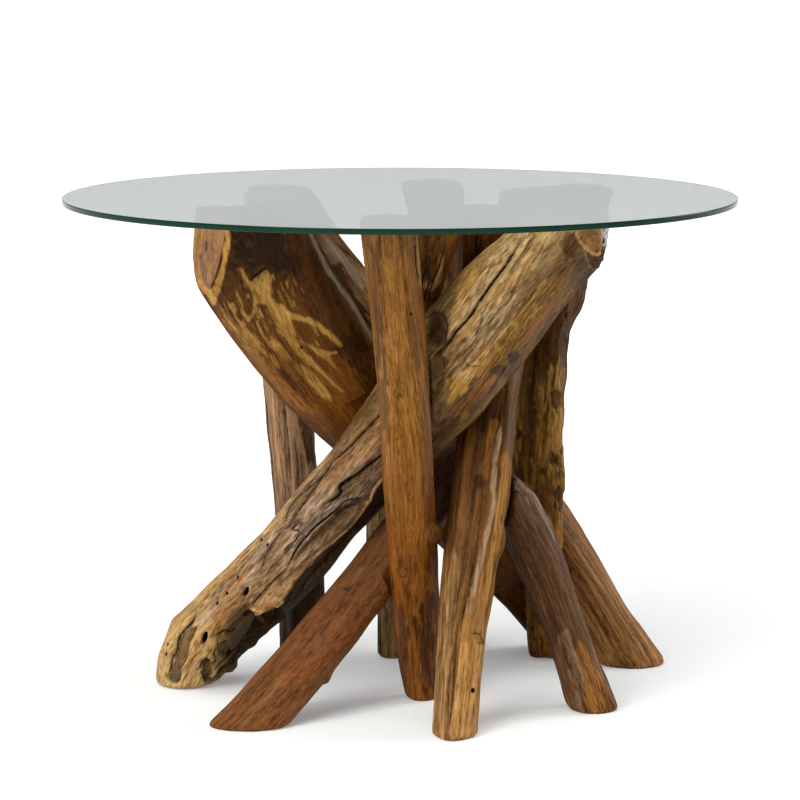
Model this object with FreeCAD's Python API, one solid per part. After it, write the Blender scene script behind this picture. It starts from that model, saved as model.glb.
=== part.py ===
import FreeCAD, Part
import math
import os
from collections import namedtuple
from FreeCAD import Placement, Rotation, Vector

os.makedirs("parts", exist_ok=True)

# Overall sizes in millimetres; the origin is on the floor under the middle of the glass
table_height = 450.0
top_diameter = 600.0
glass_thickness = 5.0
glass_arris = 0.6
bumper_diameter = 10.0
bumper_height = 1.5
base_height = table_height - glass_thickness - bumper_height

# The glued pegs of the same wood that pin every crossing, blind or driven in from the front
peg_diameter = 8.0
peg_bite = 16.0
peg_clearance = 0.1
paired_peg_spacing = 39.0
paired_peg_rise = 10.0
front_peg_shift = -8.0

# The hewn seats and the eased ends of the logs
seat_margin = 3.0
end_ease = 3.0

# How finely the lofted logs are drawn
ring_points = 12
ring_spacing = 60.0

# One level ring of a log: level is the share of the base's height, the rest are millimetres
Station = namedtuple("Station", "level x y width depth")

# A ripple round a log's ring: how many lobes, their share of the radius, and their turn in degrees
Ripple = namedtuple("Ripple", "lobes size turn")


def smooth_slopes(levels, values):
    """Slopes of a smooth curve through the values that never overshoots them."""
    rates = []
    for low, high, first, last in zip(levels, levels[1:], values, values[1:]):
        rates.append((last - first) / (high - low))
    inner = []
    for before, after in zip(rates, rates[1:]):
        same_way = before * after > 0
        inner.append(2 * before * after / (before + after) if same_way else 0.0)
    return [rates[0]] + inner + [rates[-1]]


def smooth_value(levels, values, level):
    """Value at one level of the smooth curve through the values, and its slope."""
    slopes = smooth_slopes(levels, values)
    below = [k for k in range(1, len(levels) - 1) if levels[k] <= level]
    k = below[-1] if below else 0
    step = levels[k + 1] - levels[k]
    s = (level - levels[k]) / step
    rise = values[k + 1] - values[k]
    start_bend = slopes[k] * step
    end_bend = slopes[k + 1] * step
    value = values[k] + s * start_bend + s**2 * (3 * rise - 2 * start_bend - end_bend)
    value += s**3 * (start_bend + end_bend - 2 * rise)
    slope = start_bend + 2 * s * (3 * rise - 2 * start_bend - end_bend)
    slope += 3 * s**2 * (start_bend + end_bend - 2 * rise)
    return value, slope / step


def signed_power(value, exponent):
    return math.copysign(abs(value) ** exponent, value)


class Log:
    """A root or branch lofted through level rings, sawn level at the floor and under the glass."""

    def __init__(self, stations, ripples=(), squareness=2.0):
        self.levels = [station.level for station in stations]
        self.stations = stations
        self.ripples = ripples
        self.squareness = squareness
        self.cutters = []
        self.solid = self.loft()

    def measure(self, name, level):
        values = [getattr(station, name) for station in self.stations]
        return smooth_value(self.levels, values, level)

    def middle(self, level):
        x, _ = self.measure("x", level)
        y, _ = self.measure("y", level)
        return Vector(x, y, level * base_height)

    def direction(self, level):
        _, x_slope = self.measure("x", level)
        _, y_slope = self.measure("y", level)
        return Vector(x_slope, y_slope, base_height).normalize()

    def ring(self, level, shrink):
        """Closed level curve round the log, a rounded box or ellipse with its ripples."""
        half_width = (self.measure("width", level)[0] - shrink) / 2
        half_depth = (self.measure("depth", level)[0] - shrink) / 2
        points = []
        for k in range(ring_points):
            angle = 2 * math.pi * k / ring_points
            radius = 1.0
            for ripple in self.ripples:
                turn = math.radians(ripple.turn) + 2 * math.pi * level
                radius += ripple.size * math.cos(ripple.lobes * angle + turn)
            x = radius * half_width * signed_power(math.cos(angle), 2 / self.squareness)
            y = radius * half_depth * signed_power(math.sin(angle), 2 / self.squareness)
            points.append(self.middle(level) + Vector(x, y, 0))
        curve = Part.BSplineCurve()
        even_steps = [k / ring_points for k in range(ring_points + 1)]
        curve.interpolate(Points=points, PeriodicFlag=True, Parameters=even_steps)
        return Part.Wire([curve.toShape()])

    def loft(self):
        """Straight bands from ring to ring, with a narrow eased band at both sawn ends."""
        ease = end_ease / base_height
        levels = [self.levels[0] + ease]
        for low, high in zip(self.levels, self.levels[1:]):
            bands = math.ceil((high - low) * base_height / ring_spacing)
            levels += [low + (high - low) * k / bands for k in range(1, bands + 1)]
        levels[-1] -= ease
        rings = [self.ring(self.levels[0], 2 * end_ease)]
        rings += [self.ring(level, 0.0) for level in levels]
        rings.append(self.ring(self.levels[-1], 2 * end_ease))
        return Part.makeLoft(rings, True, True).Solids[0]

    def add_stub(self, start, end, start_radius, end_radius):
        """Fuse the stump of a side branch, from one (level, x, y) offset to another."""
        foot = self.middle(start[0]) + Vector(start[1], start[2], 0)
        tip = self.middle(end[0]) + Vector(end[1], end[2], 0)
        cone = Part.makeCone(start_radius, end_radius, foot.distanceToPoint(tip), foot, tip - foot)
        self.solid = self.solid.fuse(cone).Solids[0]

    def saw_off(self, point, facing):
        """Saw away what lies beyond an upright plane, given a point on it and its way, in degrees."""
        reach = 2 * table_height
        block = Part.makeBox(reach, reach, reach, Vector(0, -reach / 2, -reach / 2))
        block.Placement = Placement(point, Rotation(Vector(0, 0, 1), facing))
        self.solid = self.solid.cut(block).Solids[0]


def block_over(corners, low, high, margin):
    """Box in a seat's own frame over the given corners, from one height to another."""
    xs = [corner.x for corner in corners]
    ys = [corner.y for corner in corners]
    start = Vector(min(xs) - margin, min(ys) - margin, low)
    return Part.makeBox(max(xs) - start.x + margin, max(ys) - start.y + margin, high - low, start)


pegs = []


def drive_peg(head_log, other_log, spot, way, through):
    """One peg across a seat, blind in both logs or driven through the first and cut flush."""
    start = -table_height if through else -peg_bite
    outer = Part.makeCylinder(peg_diameter / 2, -start, Vector(0, 0, start))
    inner = Part.makeCylinder(peg_diameter / 2, peg_bite)
    hole = Part.makeCylinder(peg_diameter / 2 + peg_clearance, peg_bite - start, Vector(0, 0, start))
    for shape in (outer, inner, hole):
        shape.Placement = Placement(spot, Rotation(Vector(0, 0, 1), way))
    if through:
        outer = outer.common(head_log.solid)
    pegs.append(outer.fuse(inner).Solids[0])
    head_log.cutters.append(hole)
    other_log.cutters.append(hole)


def join(head_log, other_log, offsets=(Vector(),), way=None):
    """Hew one flat seat into two crossing logs, half out of each, and peg them together there.

    A peg with its own way is driven through the first log; the others hide along the seat's normal.
    """
    overlap = head_log.solid.common(other_log.solid).Solids[0]
    middle = overlap.CenterOfMass
    level = middle.z / base_height
    along = head_log.direction(level)
    normal = along.cross(other_log.direction(level)).normalize()
    if normal.dot(other_log.middle(level) - head_log.middle(level)) < 0:
        normal = -normal
    seat = Placement(middle, Rotation(along.cross(normal), along, normal, "ZYX"))
    corners = [seat.inverse().multVec(point) for point in overlap.tessellate(1.0)[0]]
    heights = [corner.z for corner in corners]
    head_side = block_over(corners, 0, max(heights) + seat_margin, seat_margin)
    other_side = block_over(corners, min(heights) - seat_margin, 0, seat_margin)
    head_side.Placement = seat
    other_side.Placement = seat
    head_log.cutters.append(head_side)
    other_log.cutters.append(other_side)
    peg_way = way if way else normal
    for offset in offsets:
        lift = -offset.dot(normal) / peg_way.dot(normal)
        drive_peg(head_log, other_log, middle + offset + peg_way * lift, peg_way, through=bool(way))


def make_centre_post():
    """Straight post at the front, thinning to its foot, with a small branch stump."""
    log = Log([
        Station(level=0.00, x=20, y=-34, width=30, depth=36),
        Station(level=0.08, x=17, y=-44, width=37, depth=40),
        Station(level=0.20, x=14, y=-61, width=43, depth=44),
        Station(level=0.45, x=8, y=-98, width=46, depth=46),
        Station(level=0.70, x=2, y=-130, width=45, depth=46),
        Station(level=1.00, x=-10, y=-172, width=47, depth=46),
    ])
    log.add_stub(start=(0.38, 18, 0), end=(0.345, 25, 0), start_radius=7.0, end_radius=5.0)
    return log


def make_diagonal_log():
    """Thick log across the front, swollen at its foot and torn off upright at its top."""
    log = Log([
        Station(level=0.00, x=-196, y=28, width=58, depth=74),
        Station(level=0.06, x=-183, y=20, width=77, depth=80),
        Station(level=0.14, x=-157, y=8, width=102, depth=84),
        Station(level=0.25, x=-111, y=-10, width=97, depth=80),
        Station(level=0.33, x=-84, y=-22, width=89, depth=78),
        Station(level=0.49, x=-22, y=-49, width=97, depth=78),
        Station(level=0.60, x=18, y=-66, width=112, depth=80),
        Station(level=0.75, x=63, y=-90, width=118, depth=80),
        Station(level=0.90, x=114, y=-114, width=116, depth=80),
        Station(level=1.00, x=166, y=-129, width=118, depth=80),
    ])
    log.add_stub(start=(0.38, 22, -14), end=(0.165, 22, -41), start_radius=14.0, end_radius=13.0)
    log.saw_off(Vector(167, -129, base_height), facing=-20)
    return log


def make_split_root():
    """Broad split root, from a sawn upright end at the left down behind the diagonal log."""
    log = Log([
        Station(level=0.00, x=154, y=165, width=38, depth=40),
        Station(level=0.10, x=122, y=150, width=46, depth=44),
        Station(level=0.18, x=95, y=127, width=54, depth=48),
        Station(level=0.27, x=63, y=97, width=64, depth=52),
        Station(level=0.45, x=1, y=40, width=90, depth=60),
        Station(level=0.60, x=-50, y=-9, width=109, depth=72),
        Station(level=0.75, x=-88, y=-54, width=124, depth=80),
        Station(level=1.00, x=-148, y=-120, width=132, depth=88),
    ], squareness=2.5)
    log.saw_off(Vector(-178, -75, base_height), facing=200)
    return log


def make_round_leg():
    """Smooth round leg leaning in from the front left, with a branch stump near its foot."""
    log = Log([
        Station(level=0.00, x=-133, y=-140, width=72, depth=50),
        Station(level=0.06, x=-105, y=-119, width=66, depth=50),
        Station(level=0.20, x=-48, y=-75, width=62, depth=50),
        Station(level=0.32, x=-2, y=-42, width=60, depth=50),
        Station(level=0.42, x=36, y=-24, width=58, depth=50),
        Station(level=0.53, x=76, y=-4, width=50, depth=48),
    ])
    log.add_stub(start=(0.11, 18, 0), end=(0.078, 28, -3), start_radius=10.0, end_radius=7.0)
    return log


def make_front_leg():
    """Fluted leg whose foot stands furthest forward and whose top leans to the back."""
    return Log([
        Station(level=0.00, x=46, y=-173, width=38, depth=46),
        Station(level=0.10, x=50, y=-146, width=38, depth=45),
        Station(level=0.25, x=58, y=-108, width=47, depth=49),
        Station(level=0.42, x=70, y=-66, width=54, depth=50),
        Station(level=0.60, x=80, y=-26, width=50, depth=50),
        Station(level=1.00, x=117, y=92, width=47, depth=47),
    ], ripples=[Ripple(lobes=4, size=0.045, turn=40)])


def make_curved_leg():
    """Short leg at the right, curving up to the front leg's back."""
    return Log([
        Station(level=0.00, x=171, y=-78, width=46, depth=46),
        Station(level=0.10, x=155, y=-70, width=41, depth=44),
        Station(level=0.20, x=139, y=-63, width=40, depth=44),
        Station(level=0.30, x=122, y=-57, width=47, depth=44),
        Station(level=0.37, x=109, y=-49, width=48, depth=44),
        Station(level=0.42, x=97, y=-44, width=46, depth=42),
        Station(level=0.46, x=88, y=-42, width=28, depth=32),
    ])


def make_rear_diagonal():
    """Long bowed log across the back, from the top left to a foot at the right."""
    return Log([
        Station(level=0.00, x=219, y=100, width=62, depth=54),
        Station(level=0.12, x=186, y=117, width=54, depth=54),
        Station(level=0.32, x=130, y=140, width=58, depth=54),
        Station(level=0.55, x=47, y=144, width=58, depth=54),
        Station(level=0.84, x=-62, y=130, width=57, depth=54),
        Station(level=1.00, x=-114, y=116, width=57, depth=54),
    ])


def make_knotty_post():
    """Knobbly post at the rear right that swells towards its top."""
    return Log([
        Station(level=0.00, x=142, y=132, width=44, depth=46),
        Station(level=0.06, x=139, y=124, width=41, depth=44),
        Station(level=0.18, x=136, y=107, width=37, depth=44),
        Station(level=0.34, x=130, y=97, width=46, depth=44),
        Station(level=0.46, x=128, y=98, width=52, depth=45),
        Station(level=0.57, x=130, y=100, width=47, depth=46),
        Station(level=0.70, x=132, y=106, width=52, depth=50),
        Station(level=0.80, x=143, y=110, width=56, depth=56),
        Station(level=1.00, x=162, y=112, width=70, depth=68),
    ], ripples=[Ripple(lobes=3, size=0.06, turn=0), Ripple(lobes=5, size=0.04, turn=60)])


def make_rear_left_post():
    """Nearly upright post at the rear left."""
    return Log([
        Station(level=0.00, x=-91, y=135, width=44, depth=44),
        Station(level=0.30, x=-95, y=117, width=44, depth=46),
        Station(level=0.55, x=-104, y=103, width=43, depth=46),
        Station(level=1.00, x=-119, y=78, width=49, depth=46),
    ], ripples=[Ripple(lobes=5, size=0.035, turn=20)])


def make_rear_centre_post():
    """Post at the middle of the back that opens out to a broad top."""
    return Log([
        Station(level=0.00, x=58, y=170, width=36, depth=40),
        Station(level=0.20, x=62, y=174, width=37, depth=40),
        Station(level=0.53, x=56, y=180, width=40, depth=40),
        Station(level=0.80, x=43, y=174, width=47, depth=52),
        Station(level=1.00, x=29, y=158, width=58, depth=78),
    ])


def make_pale_strut():
    """Short strut of pale sapwood between the diagonal log's back and the glass."""
    return Log([
        Station(level=0.72, x=8, y=-52, width=28, depth=32),
        Station(level=0.80, x=15, y=-72, width=33, depth=36),
        Station(level=0.88, x=23, y=-88, width=36, depth=44),
        Station(level=1.00, x=34, y=-118, width=46, depth=64),
    ])


def make_dark_strut():
    """Short dark strut beside the pale one, flat against the diagonal log's back."""
    return Log([
        Station(level=0.74, x=73, y=-38, width=38, depth=32),
        Station(level=0.86, x=74, y=-57, width=48, depth=40),
        Station(level=1.00, x=74, y=-80, width=49, depth=40),
    ])


def make_inner_post():
    """Thin pale post under the middle that props the split root from behind."""
    return Log([
        Station(level=0.00, x=-7, y=130, width=28, depth=32),
        Station(level=0.10, x=-8, y=119, width=27, depth=32),
        Station(level=0.26, x=-18, y=100, width=27, depth=34),
        Station(level=0.56, x=-20, y=62, width=28, depth=34),
    ])


def make_glass_top():
    """Round sheet of glass with a ground arris round both faces."""
    underside = Vector(0, 0, table_height - glass_thickness)
    glass = Part.makeCylinder(top_diameter / 2, glass_thickness, underside)
    rims = [edge for edge in glass.Edges if edge.Closed]
    return glass.makeChamfer(glass_arris, rims)


def make_bumpers(spots):
    """Clear discs between the sawn tops and the glass."""
    pads = []
    for log, x_offset in spots:
        centre = log.middle(1.0) + Vector(x_offset, 0, 0)
        pads.append(Part.makeCylinder(bumper_diameter / 2, bumper_height, centre))
    return Part.makeCompound(pads)


logs = {
    "centre_post": make_centre_post(),
    "diagonal_log": make_diagonal_log(),
    "split_root": make_split_root(),
    "round_leg": make_round_leg(),
    "front_leg": make_front_leg(),
    "curved_leg": make_curved_leg(),
    "rear_diagonal": make_rear_diagonal(),
    "knotty_post": make_knotty_post(),
    "rear_left_post": make_rear_left_post(),
    "rear_centre_post": make_rear_centre_post(),
    "pale_strut": make_pale_strut(),
    "dark_strut": make_dark_strut(),
    "inner_post": make_inner_post(),
}

# Every crossing; the pegs of the centre post are driven straight in from the front
straight_in = Vector(0, 1, 0)
low_peg = Vector(front_peg_shift, 0, paired_peg_rise - paired_peg_spacing / 2)
high_peg = Vector(front_peg_shift, 0, paired_peg_rise + paired_peg_spacing / 2)
join(logs["centre_post"], logs["diagonal_log"], offsets=(low_peg, high_peg), way=straight_in)
join(logs["centre_post"], logs["round_leg"], way=straight_in)
join(logs["split_root"], logs["diagonal_log"])
join(logs["front_leg"], logs["diagonal_log"])
join(logs["pale_strut"], logs["diagonal_log"])
join(logs["dark_strut"], logs["diagonal_log"])
join(logs["round_leg"], logs["front_leg"])
join(logs["front_leg"], logs["curved_leg"])
join(logs["front_leg"], logs["knotty_post"])
join(logs["split_root"], logs["knotty_post"])
join(logs["inner_post"], logs["split_root"])
join(logs["knotty_post"], logs["rear_diagonal"])
join(logs["rear_diagonal"], logs["rear_left_post"])
join(logs["rear_centre_post"], logs["rear_diagonal"])

nodes = {name: log.solid.cut(log.cutters) for name, log in logs.items()}
nodes["glass_top"] = make_glass_top()
nodes["pegs"] = Part.makeCompound(pegs)
nodes["bumpers"] = make_bumpers([
    (logs["centre_post"], 0),
    (logs["diagonal_log"], -24),
    (logs["split_root"], 26),
    (logs["knotty_post"], 6),
    (logs["rear_diagonal"], 0),
    (logs["rear_centre_post"], 0),
])

for name, shape in nodes.items():
    print(name, "solids", len(shape.Solids), "valid", shape.isValid(), "volume", round(shape.Volume))
    shape.exportStep("parts/" + name + ".step")
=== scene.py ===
import bmesh
import bpy
import math
import numpy as np
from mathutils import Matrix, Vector


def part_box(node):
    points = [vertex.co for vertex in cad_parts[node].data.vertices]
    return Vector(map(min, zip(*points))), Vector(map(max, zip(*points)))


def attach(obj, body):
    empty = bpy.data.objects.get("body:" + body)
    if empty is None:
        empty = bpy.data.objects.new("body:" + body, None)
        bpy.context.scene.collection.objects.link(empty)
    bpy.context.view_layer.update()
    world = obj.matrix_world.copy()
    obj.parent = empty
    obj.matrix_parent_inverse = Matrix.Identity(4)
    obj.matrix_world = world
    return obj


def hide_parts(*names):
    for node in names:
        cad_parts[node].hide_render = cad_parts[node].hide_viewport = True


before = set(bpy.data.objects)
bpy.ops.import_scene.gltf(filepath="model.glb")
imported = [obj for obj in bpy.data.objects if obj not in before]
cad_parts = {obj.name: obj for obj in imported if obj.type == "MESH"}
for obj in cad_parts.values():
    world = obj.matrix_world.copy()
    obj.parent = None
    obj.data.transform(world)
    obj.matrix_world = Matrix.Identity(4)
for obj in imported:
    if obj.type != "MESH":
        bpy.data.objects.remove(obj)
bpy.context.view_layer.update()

# Metres in one of the millimetres that the carving below is written in
MM = 0.001

# The camera stands in front of the table and looks slightly down
CAMERA_AT = Vector((0.0, -3.0, 0.7218))
CAMERA_TILT_DEG = 81.35
CAMERA_LENS = 151.9
CAMERA_SENSOR = 36.0

# The wood under the glass ends at this height
BASE_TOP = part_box("bumpers")[0][2] / MM

# How far the creases between the lofted bands are eased
EASE = 3.0

# The shader darkens and lightens a log's tint round this share of it
TINT_LEVEL = 0.625

# Straight runs between two points of a rounded path
PATH_STEPS = 5

# Farther than anything on the pane
FAR = 1e6

# A surface counts as the front when its normal reaches this far toward the camera
FRONT_REACH = 300

# The widest peg that is still taken as seen end on
PLUG_WIDTH = 8.5

# Colours as seen on a screen: knots and worm holes, the sapwood on the split root
DEEP_BROWN = (38, 21, 9)
BLAZE = (174, 132, 66)

# Linear colours: the border along a crack, the warm reflection of waxed wood
STAIN = (0.042, 0.026, 0.018)
WAX_TINT = (1.0, 0.74, 0.5, 1)

GLASS_IOR = 1.52


def rgb(red, green, blue):
    """A colour as seen on a screen, from 0 to 255, as the shader's linear values."""
    shares = [c / 255 for c in (red, green, blue)]
    return tuple(c / 12.92 if c < 0.0404 else ((c + 0.055) / 1.055) ** 2.4 for c in shares)


def lattice(cells, seed):
    """A repeatable random number from -1 to 1 for each whole-number cell."""
    mixed = cells[:, 0] * 73856093 ^ cells[:, 1] * 19349663 ^ cells[:, 2] * 83492791 ^ (seed + 1) * 40503
    mixed = (mixed ^ (mixed >> 13)) & 0xFFFFFFFF
    mixed = (mixed * 1274126177) & 0xFFFFFFFF
    mixed = mixed ^ (mixed >> 16)
    return (mixed & 0xFFFF) / 32767.5 - 1.0


def noise(points, size, seed):
    """Smooth random values from about -1 to 1, with lumps of the given size along each axis."""
    scaled = points / np.asarray(size, float)
    cells = np.floor(scaled).astype(np.int64)
    part = scaled - cells
    part = part**3 * (part * (part * 6 - 15) + 10)
    total = np.zeros(len(points))
    for corner in np.ndindex(2, 2, 2):
        weight = np.prod(np.where(corner, part, 1 - part), axis=1)
        total += weight * lattice(cells + corner, seed)
    return total


def layered_noise(points, size, seed, layers=3):
    """Noise with finer and weaker layers added."""
    size = np.asarray(size, float)
    total = np.zeros(len(points))
    for layer in range(layers):
        total += noise(points, size / 2**layer, seed + 31 * layer) / 2**layer
    return total


def smooth_step(low, high, values):
    """0 below low, 1 above high, and a smooth climb between; the other way round if low is higher."""
    t = np.clip((values - low) / (high - low), 0, 1)
    return t * t * (3 - 2 * t)


def smooth_path(path):
    """A rounded path through the given 2D points."""
    knots = np.asarray(path, float)
    if len(knots) < 3:
        return knots
    knots = np.vstack([2 * knots[0] - knots[1], knots, 2 * knots[-1] - knots[-2]])
    t = np.linspace(0, 1, PATH_STEPS, endpoint=False)[:, None]
    runs = []
    for a, b, c, d in zip(knots, knots[1:], knots[2:], knots[3:]):
        bend = (c - a) * t + (2 * a - 5 * b + 4 * c - d) * t**2 + (3 * b - a - 3 * c + d) * t**3
        runs.append(b + bend / 2)
    return np.vstack(runs + [knots[-2:-1]])


def path_distance(points, path):
    """Distance of 2D points to a path of straight runs, and how far along it, from 0 to 1."""
    runs = np.diff(path, axis=0)
    lengths = np.hypot(runs[:, 0], runs[:, 1])
    starts = np.concatenate(([0.0], np.cumsum(lengths)))
    best = np.full(len(points), FAR)
    along = np.zeros(len(points))
    for start, run, length, done in zip(path, runs, lengths, starts):
        t = np.clip(((points - start) @ run) / length**2, 0, 1)
        gap = np.hypot(*(points - start - t[:, None] * run).T)
        closer = gap < best
        best[closer] = gap[closer]
        along[closer] = (done + t[closer] * length) / starts[-1]
    return best, along


def half_turn(angle):
    """The same angle between minus and plus half a turn."""
    return (angle + math.pi) % (2 * math.pi) - math.pi


def is_inside(points, outline):
    """Which 2D points lie inside a closed outline."""
    inside = np.zeros(len(points), bool)
    for (x0, z0), (x1, z1) in zip(outline, outline[1:]):
        if z0 == z1:
            continue
        crosses = (z0 > points[:, 1]) != (z1 > points[:, 1])
        inside ^= crosses & (points[:, 0] < x0 + (points[:, 1] - z0) * (x1 - x0) / (z1 - z0))
    return inside


def new_object(name, data):
    """A new object in the scene."""
    item = bpy.data.objects.new(name, data)
    bpy.context.scene.collection.objects.link(item)
    return item


def read_vectors(data):
    """Blender's list of vectors as an array."""
    values = np.empty(len(data) * 3, np.float32)
    data.foreach_get("vector", values)
    return values.reshape(-1, 3).astype(float)


class Log:
    """One log of the base, remeshed evenly from its solid and then carved and painted vertex by vertex.

    Everything here is in millimetres. grain holds each vertex in the straightened log: two ways across it
    and one along it. pane holds it as drawn from the camera on an upright pane through the table's middle.
    Colours are written as seen on a screen, and ground is a list of heights with the colour at each.
    """

    def __init__(self, node, slot, voxel, seed, ground, plugs=None):
        self.node = node
        self.slot = slot
        self.voxel = voxel
        self.seed = seed
        self.draws = 0
        self.mesh = self.remesh(voxel, plugs)
        self.points = read_vectors(self.mesh.attributes["position"].data) / MM
        self.normals = read_vectors(self.mesh.vertex_normals)
        self.straighten()
        camera = np.array(CAMERA_AT) / MM
        reach = -camera[1] / (self.points[:, 1] - camera[1])
        self.pane = camera[[0, 2]] + (self.points[:, [0, 2]] - camera[[0, 2]]) * reach[:, None]
        facing = np.einsum("ij,ij->i", self.normals, camera - self.points)
        self.front = smooth_step(0, FRONT_REACH, facing)
        count = len(self.points)
        self.rise = np.zeros(count)
        # Painted shade in cracks, holes and along hollow rims, and the dark seams round the pegs
        self.crack_shade_and_seam_mask = np.zeros(count)
        self.dull_mask = np.zeros(count)
        heights = [row[0] for row in ground]
        colours = np.array([rgb(*row[1:]) for row in ground])
        self.tint = np.stack([np.interp(self.points[:, 2], heights, shades) for shades in colours.T], axis=1)
        self.streaks = layered_noise(self.grain, (3.5, 3.5, 60), self.draw())
        self.dashes = layered_noise(self.grain, (2.2, 2.2, 12), self.draw(), 2)
        self.fray = 0.6 * self.streaks + 0.6 * self.dashes
        self.grit = layered_noise(self.points, (9, 9, 9), self.draw())
        self.fine = layered_noise(self.points, (5, 5, 5), self.draw(), 2)

    def draw(self):
        """The next seed of this log."""
        self.draws += 1
        return self.seed + 17 * self.draws

    def remesh(self, voxel, plugs):
        """An even mesh of the node's solid, eased over the creases between its lofted bands."""
        shape = bmesh.new()
        shape.from_mesh(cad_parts[self.node].data)
        if plugs:
            shape.from_mesh(plugs)
        mesh = bpy.data.meshes.new(self.node + "_maker")
        shape.to_mesh(mesh)
        shape.free()
        maker = new_object(self.node + "_maker", mesh)
        grid = maker.modifiers.new("even", "REMESH")
        grid.mode = "VOXEL"
        grid.voxel_size = voxel * MM
        ease = maker.modifiers.new("ease", "SMOOTH")
        ease.factor = 0.5
        ease.iterations = round(4 * (EASE / voxel) ** 2)
        solid = maker.evaluated_get(bpy.context.evaluated_depsgraph_get())
        carved = bpy.data.meshes.new_from_object(solid)
        bpy.data.objects.remove(maker)
        bpy.data.meshes.remove(mesh)
        carved.name = self.node + "_carved"
        return carved

    def straighten(self):
        """Fits a bowed middle line and measures every vertex across and along it."""
        height = self.points[:, 2]
        bend_x = np.polyfit(height, self.points[:, 0], 4)
        bend_y = np.polyfit(height, self.points[:, 1], 4)
        lean_x = np.polyder(bend_x)
        lean_y = np.polyder(bend_y)
        level = height.copy()
        low = height.min() - 10
        high = height.max() + 10
        for _ in range(5):
            lean = [np.polyval(lean_x, level), np.polyval(lean_y, level), np.ones(len(level))]
            tangent = np.stack(lean, axis=1)
            middle = np.stack([np.polyval(bend_x, level), np.polyval(bend_y, level), level], axis=1)
            away = self.points - middle
            step = np.einsum("ij,ij->i", away, tangent) / np.einsum("ij,ij->i", tangent, tangent)
            level = np.clip(level + step, low, high)
        tangent /= np.linalg.norm(tangent, axis=1)[:, None]
        side = np.array([1.0, 0, 0]) - tangent * tangent[:, :1]
        side /= np.linalg.norm(side, axis=1)[:, None]
        other = np.cross(tangent, side)
        ladder = np.linspace(low, high, 200)
        steps = np.stack([np.gradient(np.polyval(bend_x, ladder)), np.gradient(np.polyval(bend_y, ladder)),
                          np.gradient(ladder)])
        along = np.interp(level, ladder, np.cumsum(np.linalg.norm(steps, axis=0)))
        across = np.einsum("ij,ij->i", away, side)
        deep = np.einsum("ij,ij->i", away, other)
        self.grain = np.stack([across, deep, along], axis=1)
        self.turn = np.arctan2(deep, across)
        self.radius = np.hypot(across, deep)
        self.endwise = smooth_step(0.6, 0.88, np.abs(np.einsum("ij,ij->i", self.normals, tangent)))

    def blend(self, colour, share):
        """Mixes a linear colour into the tint."""
        self.tint += (np.array(colour) - self.tint) * share[:, None]

    def lumps(self, size, height, weight=1.0):
        self.rise += weight * height * layered_noise(self.points, (size,) * 3, self.draw())

    def ridges(self, width, height, length):
        """Long soft ridges and furrows along the grain."""
        bumps = layered_noise(self.grain, (width, width, length), self.draw())
        self.rise += height * bumps * (1 - self.endwise)

    def mottle(self, factor, width, length, low=0.1, high=0.8, weight=1.0):
        """Darkens or lightens the tint by a factor, in patches of the given width and length."""
        shade = layered_noise(self.grain, (width, width, length), self.draw())
        patches = weight * smooth_step(low, high, shade)
        self.tint *= 1 + (np.array(factor) - 1) * patches[:, None]

    def weather(self, lumps, ridges, mottles, checks, knots):
        """What nearly every log has: lumps, ridges, patches of shade, drying cracks and knots."""
        self.lumps(*lumps)
        for row in ridges:
            self.ridges(*row)
        for row in mottles:
            self.mottle(*row)
        self.checks(*checks)
        self.knots(knots)

    def places(self, count, seed, margin):
        """Random places, each as a direction round the log and a length along it, with what draws them."""
        chance = np.random.default_rng(seed)
        low = self.grain[:, 2].min() + margin
        high = self.grain[:, 2].max() - margin
        for _ in range(count):
            turn = chance.uniform(-math.pi, math.pi)
            yield chance, turn, chance.uniform(low, high)

    def checks(self, count, width, depth, seen):
        """Drying cracks along the grain at random, fewer to see from the camera's side if seen is low."""
        weight = 1 - self.front * (1 - seen)
        for chance, turn, middle in self.places(count, self.seed, 0):
            half = chance.uniform(0.12, 0.3) * np.ptp(self.grain[:, 2])
            drift = 0.12 * noise(self.grain * (0, 0, 1), (1, 1, 30), self.draw())
            gap = np.abs(half_turn(self.turn - turn - drift)) * self.radius
            taper = np.clip(1 - ((self.grain[:, 2] - middle) / half) ** 2, 0, 1)
            self.cut(gap, width, depth, taper * weight)

    def knots(self, count):
        """Knots at random on the sides away from the camera: a dark eye in a raised collar."""
        for chance, turn, middle in self.places(count, self.seed + 5, 30):
            size = chance.uniform(4, 8)
            across = half_turn(self.turn - turn) * self.radius
            reach = np.hypot(across, (self.grain[:, 2] - middle) / 1.5) / size + 0.2 * self.fine
            weight = 1 - self.front
            self.rise += weight * (1.6 * smooth_step(2.2, 1.0, reach) - 2.6 * smooth_step(1.1, 0.4, reach))
            self.blend(rgb(*DEEP_BROWN), 0.85 * weight * smooth_step(1.3, 0.6, reach))

    def cut(self, gap, width, depth, strength):
        """A groove where the gap to its middle is less than the width, darkened with painted shade, inside a
        stained border.
        """
        width = max(width, 1.2 * self.voxel)
        groove = np.clip(1 - gap / width, 0, 1) * strength
        self.rise -= depth * groove
        self.crack_shade_and_seam_mask = np.maximum(self.crack_shade_and_seam_mask, np.minimum(1, 1.3 * groove))
        self.blend(STAIN, 0.4 * strength * smooth_step(3 * width, 0.6 * width, gap))

    def to_path(self, path, reach):
        """Distance on the pane to a rounded path, and how far along it; FAR if out of reach."""
        line = smooth_path(path)
        low = line.min(axis=0) - reach
        high = line.max(axis=0) + reach
        near = np.all((self.pane > low) & (self.pane < high), axis=1) & (self.front > 0)
        gap = np.full(len(self.pane), FAR)
        along = np.zeros(len(self.pane))
        gap[near], along[near] = path_distance(self.pane[near], line)
        return gap, along

    def crack(self, path, width, depth, strength=1.0):
        """A crack along a path drawn on the pane, for the side that faces the camera."""
        gap, along = self.to_path(path, 5 * width)
        taper = np.sqrt(np.clip(6 * along * (1 - along), 0, 1)) * np.clip(0.9 + 0.5 * self.fine, 0.3, 1)
        self.cut(gap + 0.4 * self.fine, width, depth, taper * self.front * strength)

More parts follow.
